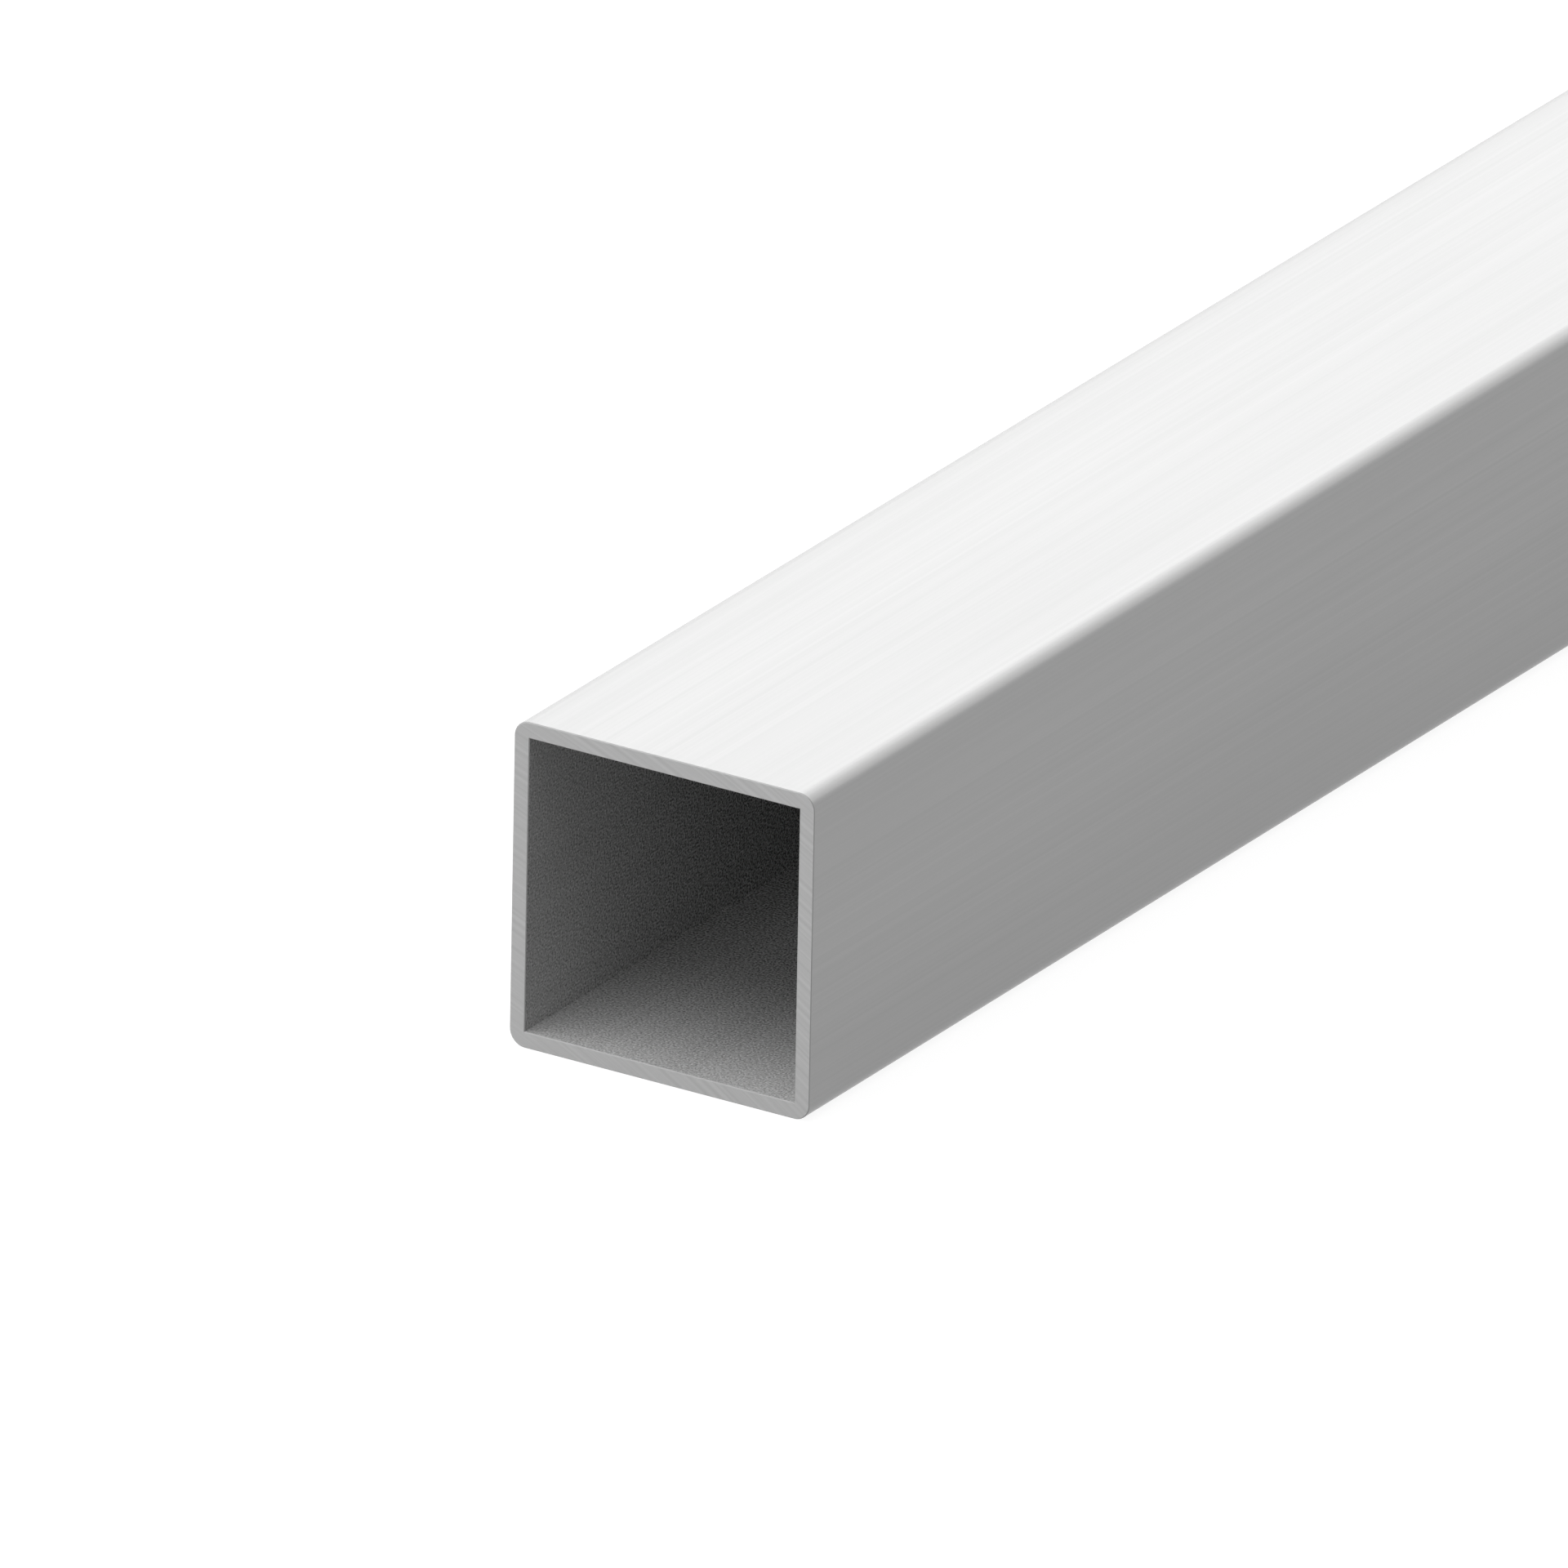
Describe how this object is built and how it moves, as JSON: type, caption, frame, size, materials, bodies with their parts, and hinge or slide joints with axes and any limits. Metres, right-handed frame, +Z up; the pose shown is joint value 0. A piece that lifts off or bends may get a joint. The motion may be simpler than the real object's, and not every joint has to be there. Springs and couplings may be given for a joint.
{
  "type": "square metal tube",
  "caption": "Straight hollow square section with even walls, small rounded outside corners, square inside corners and square sawn open ends.",
  "frame": {"origin": "centre of the underside, at the middle of the length", "axes": "+Y along the tube towards the far end, +X across it to the right seen from the near end, +Z up"},
  "size_m": [0.04, 1, 0.04],
  "materials": {
    "tube": "clear anodised, satin"
  },
  "bodies": {
    "root": {"tube": "tube"}
  },
  "joints": []
}
